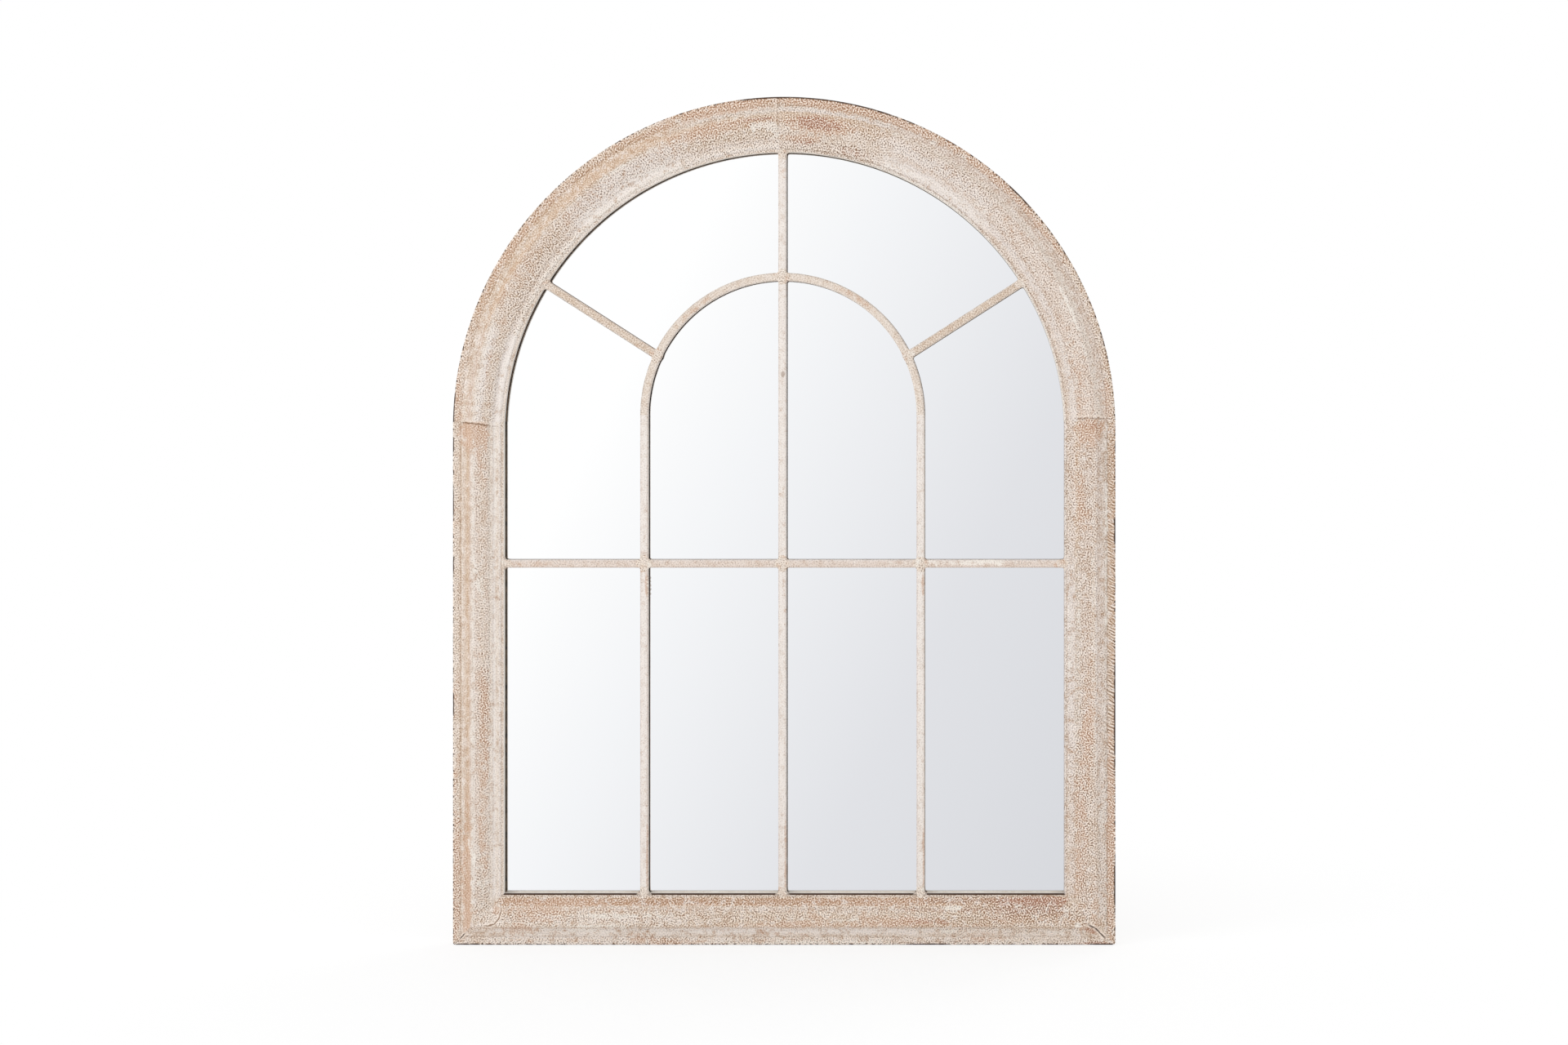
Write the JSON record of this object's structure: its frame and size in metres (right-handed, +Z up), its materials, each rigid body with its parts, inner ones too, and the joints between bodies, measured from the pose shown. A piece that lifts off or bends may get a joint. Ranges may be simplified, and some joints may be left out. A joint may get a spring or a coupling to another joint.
{
  "type": "arched window mirror",
  "caption": "Arched wall mirror in a worn whitewashed moulded wooden frame, with thin window bars across the glass and two swinging hanger rings behind.",
  "frame": {"origin": "middle of the line through the pins of the two hanger rings, on the flat back of the frame members (the rings' pins lie 3.6 mm behind it)", "axes": "+X to the viewer's right when facing the mirror, +Y through the frame towards the wall, +Z up"},
  "size_m": [0.69, 0.0349, 0.8835],
  "materials": {
    "whitewashed_wood": "worn chalky whitewash, matt",
    "painted_bar_wood": "chalky off-white paint, matt",
    "raw_wood": "bare",
    "silvered_glass": "polished",
    "hardboard": "smooth pressed board",
    "zinced_steel": "bright zinc",
    "brassed_steel": "bright plated",
    "black_rubber": "matt"
  },
  "bodies": {
    "frame": {"backing_board": "hardboard", "bottom_rail": "whitewashed_wood", "centre_bar": "painted_bar_wood", "cross_bar": "painted_bar_wood", "crown_dowel_inner": "raw_wood", "crown_dowel_outer": "raw_wood", "glazing_point_1": "zinced_steel", "glazing_point_10": "zinced_steel", "glazing_point_2": "zinced_steel", "glazing_point_3": "zinced_steel", "glazing_point_4": "zinced_steel", "glazing_point_5": "zinced_steel", "glazing_point_6": "zinced_steel", "glazing_point_7": "zinced_steel", "glazing_point_8": "zinced_steel", "glazing_point_9": "zinced_steel", "inner_arch_bar": "painted_bar_wood", "left_arch_quarter": "whitewashed_wood", "left_bumper": "black_rubber", "left_fan_bar": "painted_bar_wood", "left_fan_pin": "raw_wood", "left_hanger_screw_1": "zinced_steel", "left_hanger_screw_2": "zinced_steel", "left_hanger_strap": "zinced_steel", "left_leg_bar": "painted_bar_wood", "left_leg_pin": "raw_wood", "left_mitre_dowel_inner": "raw_wood", "left_mitre_dowel_outer": "raw_wood", "left_spring_dowel_inner": "raw_wood", "left_spring_dowel_outer": "raw_wood", "left_stile": "whitewashed_wood", "mirror_glass": "silvered_glass", "right_arch_quarter": "whitewashed_wood", "right_bumper": "black_rubber", "right_fan_bar": "painted_bar_wood", "right_fan_pin": "raw_wood", "right_hanger_screw_1": "zinced_steel", "right_hanger_screw_2": "zinced_steel", "right_hanger_strap": "zinced_steel", "right_leg_bar": "painted_bar_wood", "right_leg_pin": "raw_wood", "right_mitre_dowel_inner": "raw_wood", "right_mitre_dowel_outer": "raw_wood", "right_spring_dowel_inner": "raw_wood", "right_spring_dowel_outer": "raw_wood", "right_stile": "whitewashed_wood"},
    "left_ring": {"left_hanger_ring": "brassed_steel"},
    "right_ring": {"right_hanger_ring": "brassed_steel"}
  },
  "joints": [
    {"name": "left_ring_hinge", "type": "hinge", "parent": "frame", "child": "left_ring", "pos_m": [-0.26213, 0.0036, 0], "axis": [1, 0, 0], "range_deg": [0, 180]},
    {"name": "right_ring_hinge", "type": "hinge", "parent": "frame", "child": "right_ring", "pos_m": [0.26213, 0.0036, 0], "axis": [1, 0, 0], "range_deg": [0, 180]}
  ]
}
